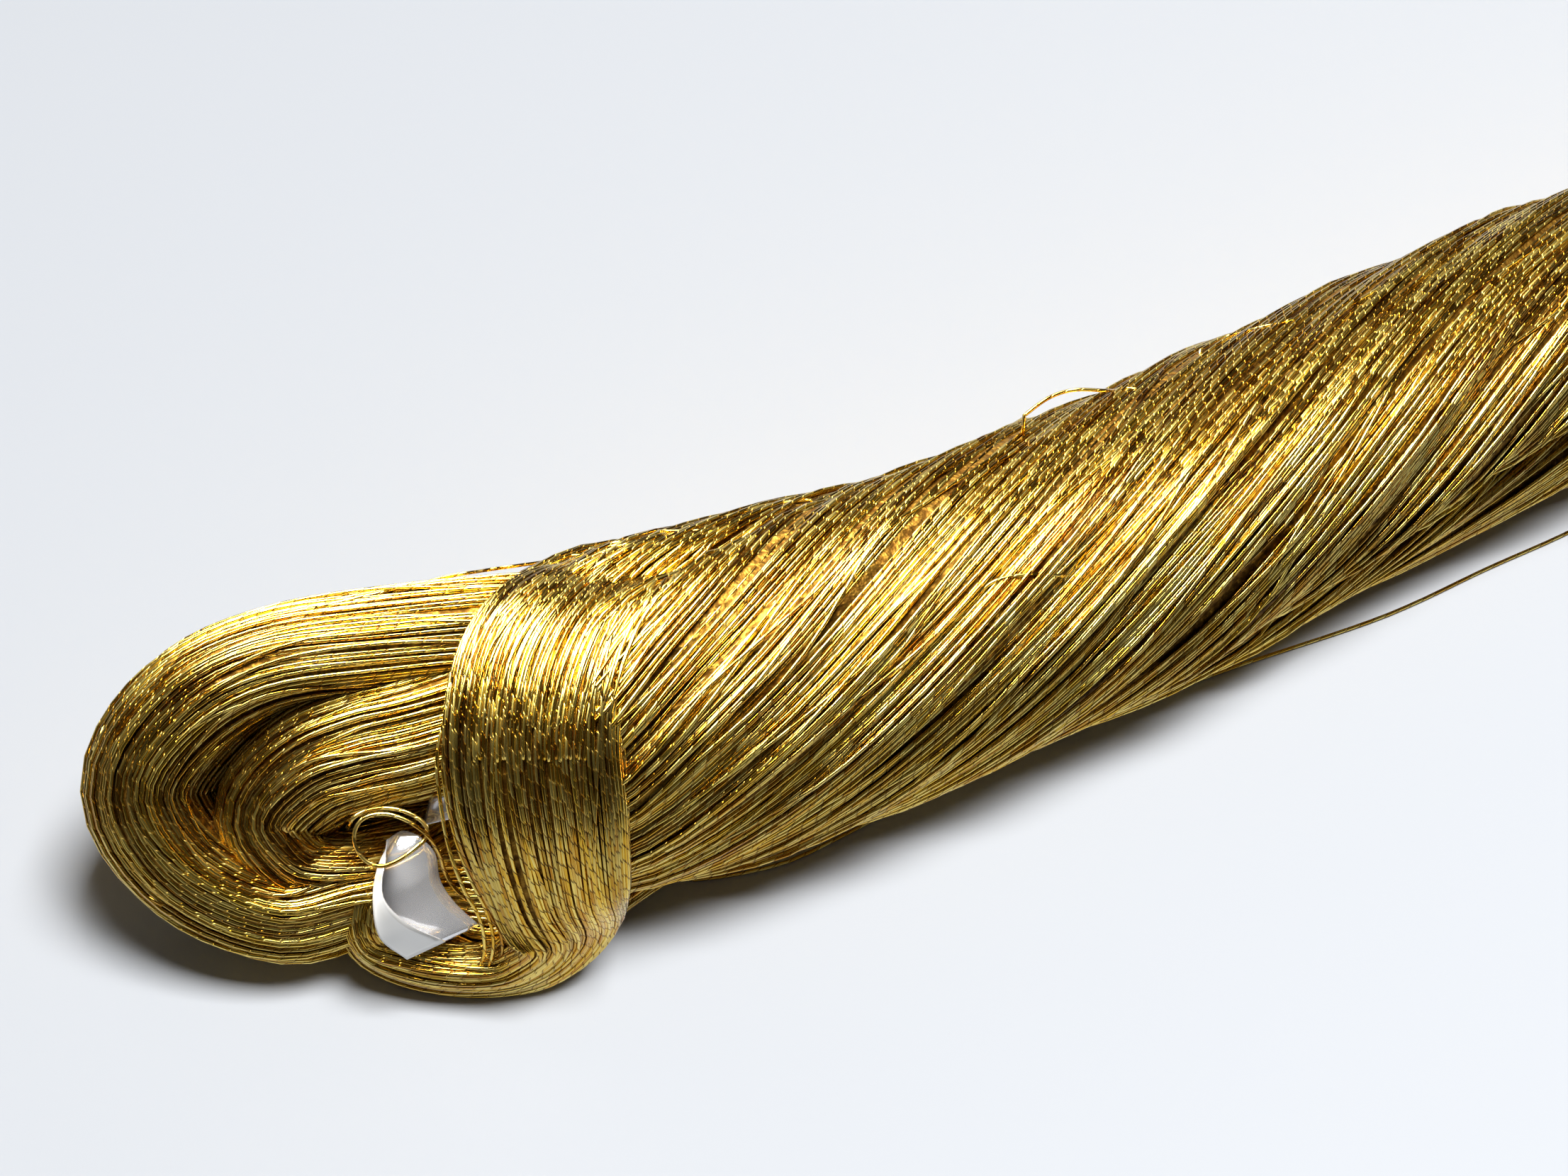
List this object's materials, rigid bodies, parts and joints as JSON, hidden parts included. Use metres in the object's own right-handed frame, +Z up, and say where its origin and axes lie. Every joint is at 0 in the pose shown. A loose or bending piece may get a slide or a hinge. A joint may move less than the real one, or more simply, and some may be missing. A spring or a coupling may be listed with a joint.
{
  "type": "twisted hank of metallic embroidery thread",
  "caption": "Twisted hank of gold metallic embroidery thread, looped and locked with a thread band at one end and folded at the other.",
  "frame": {"origin": "middle of the hank's footprint, on the surface it lies on", "axes": "+X along the hank from the locked loop to the plain fold, +Y to the back, +Z up"},
  "size_m": [0.1914, 0.0316, 0.0254],
  "materials": {
    "gold_thread": "bright gold metallised wrap on a spun core, glinting in short dashes",
    "silver_film": "metallised film, mirror silver on one face and pearl white on the other"
  },
  "bodies": {
    "root": {"hank": "gold_thread", "foil_strip": "silver_film", "foil_tail": "silver_film", "loose_thread": "gold_thread", "curled_end": "gold_thread"}
  },
  "joints": []
}
